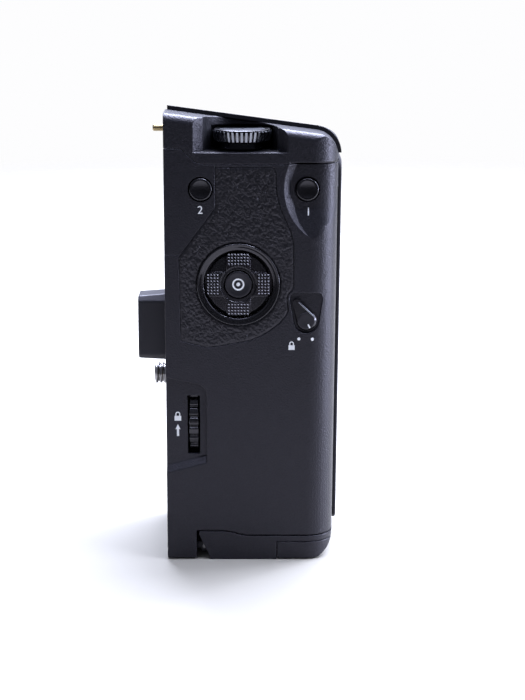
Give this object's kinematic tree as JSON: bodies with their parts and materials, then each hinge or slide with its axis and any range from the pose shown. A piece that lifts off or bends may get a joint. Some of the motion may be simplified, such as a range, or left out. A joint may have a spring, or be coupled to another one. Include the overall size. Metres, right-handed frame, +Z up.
{
  "type": "camera battery grip",
  "caption": "Vertical battery grip for a camera: a tall shell with a finger bulge, thumb dial, arrow pad, lock lever, mounting wheel driving a camera screw, and a hinged battery door.",
  "frame": {"origin": "middle of the bounding box on the surface that the battery door stands on", "axes": "+Z up along the length of the grip, -X out of the mating face towards the camera, -Y out of the rear face"},
  "size_m": [0.0598, 0.0664, 0.1334],
  "materials": {
    "body_paint": "fine-textured black paint on magnesium",
    "shell_plastic": "fine-textured black glass-filled plastic",
    "leatherette": "embossed black leatherette",
    "pad_rubber": "matt black rubber",
    "gloss_black": "polished black plastic",
    "key_plastic": "satin black moulded plastic",
    "dark_plate": "black plated steel",
    "steel": "bright nickel plate",
    "brass": "plain turned brass",
    "inner_plastic": "dark moulded plastic",
    "board": "green circuit board",
    "pale_plastic": "pale moulded plastic"
  },
  "bodies": {
    "housing": {"rear_cover": "body_paint", "front_cover": "body_paint", "base_cover": "body_paint", "top_cover": "body_paint", "deck_plate": "key_plastic", "control_cover": "body_paint", "rear_panel": "leatherette", "grip_pad": "leatherette", "base_pad": "pad_rubber", "mount_plate": "dark_plate", "housing_screws": "steel", "locating_pin": "brass", "plug_housing": "inner_plastic", "plug_contacts": "brass", "wheel_axle": "steel", "wheel_bracket": "dark_plate", "screw_bush": "brass", "tripod_socket": "steel", "battery_bay": "inner_plastic", "battery_contacts": "brass", "main_board": "board", "button_board": "board", "key_switches": "pale_plastic", "pad_bezel": "gloss_black", "rear_encoder": "inner_plastic", "front_encoder": "inner_plastic", "shutter_switch": "pale_plastic", "hinge_block": "inner_plastic", "hinge_pin": "steel"},
    "rear_dial": {"rear_dial": "gloss_black"},
    "front_dial": {"front_dial": "gloss_black"},
    "shutter_button": {"shutter_button": "key_plastic"},
    "fn1_button": {"fn1_button": "key_plastic"},
    "fn2_button": {"fn2_button": "key_plastic"},
    "pad_rocker": {"pad_rocker": "inner_plastic"},
    "arrow_pad": {"arrow_pad": "key_plastic"},
    "ok_button": {"ok_button": "key_plastic"},
    "lock_lever": {"lock_lever": "body_paint", "lever_clip": "dark_plate"},
    "mount_wheel": {"mount_wheel": "key_plastic", "wheel_gear": "brass"},
    "mount_screw": {"mount_screw": "steel", "screw_gear": "brass"},
    "battery_door": {"battery_door": "body_paint", "door_seal": "pad_rubber"},
    "door_latch": {"door_latch": "body_paint"},
    "plug_cap": {"plug_cap": "shell_plastic"}
  },
  "joints": [
    {"name": "rear_dial_turn", "type": "hinge", "parent": "housing", "child": "rear_dial", "pos_m": [0.00103, -0.0231, 0.124], "axis": [0, 0, 1], "continuous": true},
    {"name": "front_dial_turn", "type": "hinge", "parent": "housing", "child": "front_dial", "pos_m": [0.00204, 0.01464, 0.11787], "axis": [0.1258, 0.309, 0.9427], "continuous": true},
    {"name": "shutter_button_press", "type": "slide", "parent": "housing", "child": "shutter_button", "axis": [-0.1258, -0.309, -0.9427], "range_m": [0, 0.0012], "stiffness_N_per_m": 800},
    {"name": "fn1_button_press", "type": "slide", "parent": "housing", "child": "fn1_button", "axis": [0, 1, 0], "range_m": [0, 0.0006], "stiffness_N_per_m": 1500},
    {"name": "fn2_button_press", "type": "slide", "parent": "housing", "child": "fn2_button", "axis": [0, 1, 0], "range_m": [0, 0.0006], "stiffness_N_per_m": 1500},
    {"name": "ok_button_press", "type": "slide", "parent": "housing", "child": "ok_button", "axis": [0, 1, 0], "range_m": [0, 0.0006], "stiffness_N_per_m": 1500},
    {"name": "pad_tilt_up_down", "type": "hinge", "parent": "housing", "child": "pad_rocker", "pos_m": [-0.00007, -0.02965, 0.0831], "axis": [1, 0, 0], "range_deg": [-3, 3], "stiffness_Nm_per_rad": 0.06},
    {"name": "pad_tilt_left_right", "type": "hinge", "parent": "pad_rocker", "child": "arrow_pad", "pos_m": [-0.00007, -0.02965, 0.0831], "axis": [0, 0, 1], "range_deg": [-3, 3], "stiffness_Nm_per_rad": 0.06},
    {"name": "lock_lever_turn", "type": "hinge", "parent": "housing", "child": "lock_lever", "pos_m": [0.01953, -0.0316, 0.0724], "axis": [0, 1, 0], "range_deg": [0, 56]},
    {"name": "mount_wheel_turn", "type": "hinge", "parent": "housing", "child": "mount_wheel", "pos_m": [-0.01467, -0.0186, 0.041], "axis": [1, 0, 0], "continuous": true},
    {"name": "mount_screw_turn", "type": "hinge", "parent": "housing", "child": "mount_screw", "pos_m": [-0.02027, -0.0076, 0.0512], "axis": [1, 0, 0], "continuous": true},
    {"name": "battery_door_swing", "type": "hinge", "parent": "housing", "child": "battery_door", "pos_m": [-0.01037, -0.0086, 0.0022], "axis": [0, 1, 0], "range_deg": [0, 90]},
    {"name": "door_latch_slide", "type": "slide", "parent": "battery_door", "child": "door_latch", "axis": [1, 0, 0], "range_m": [0, 0.0025]},
    {"name": "plug_cap_pull", "type": "slide", "parent": "housing", "child": "plug_cap", "axis": [-1, 0, 0], "range_m": [0, 0.012]}
  ],
  "couplings": [
    {"joint": "mount_screw_turn", "follows": "mount_wheel_turn", "ratio": -1.5}
  ]
}
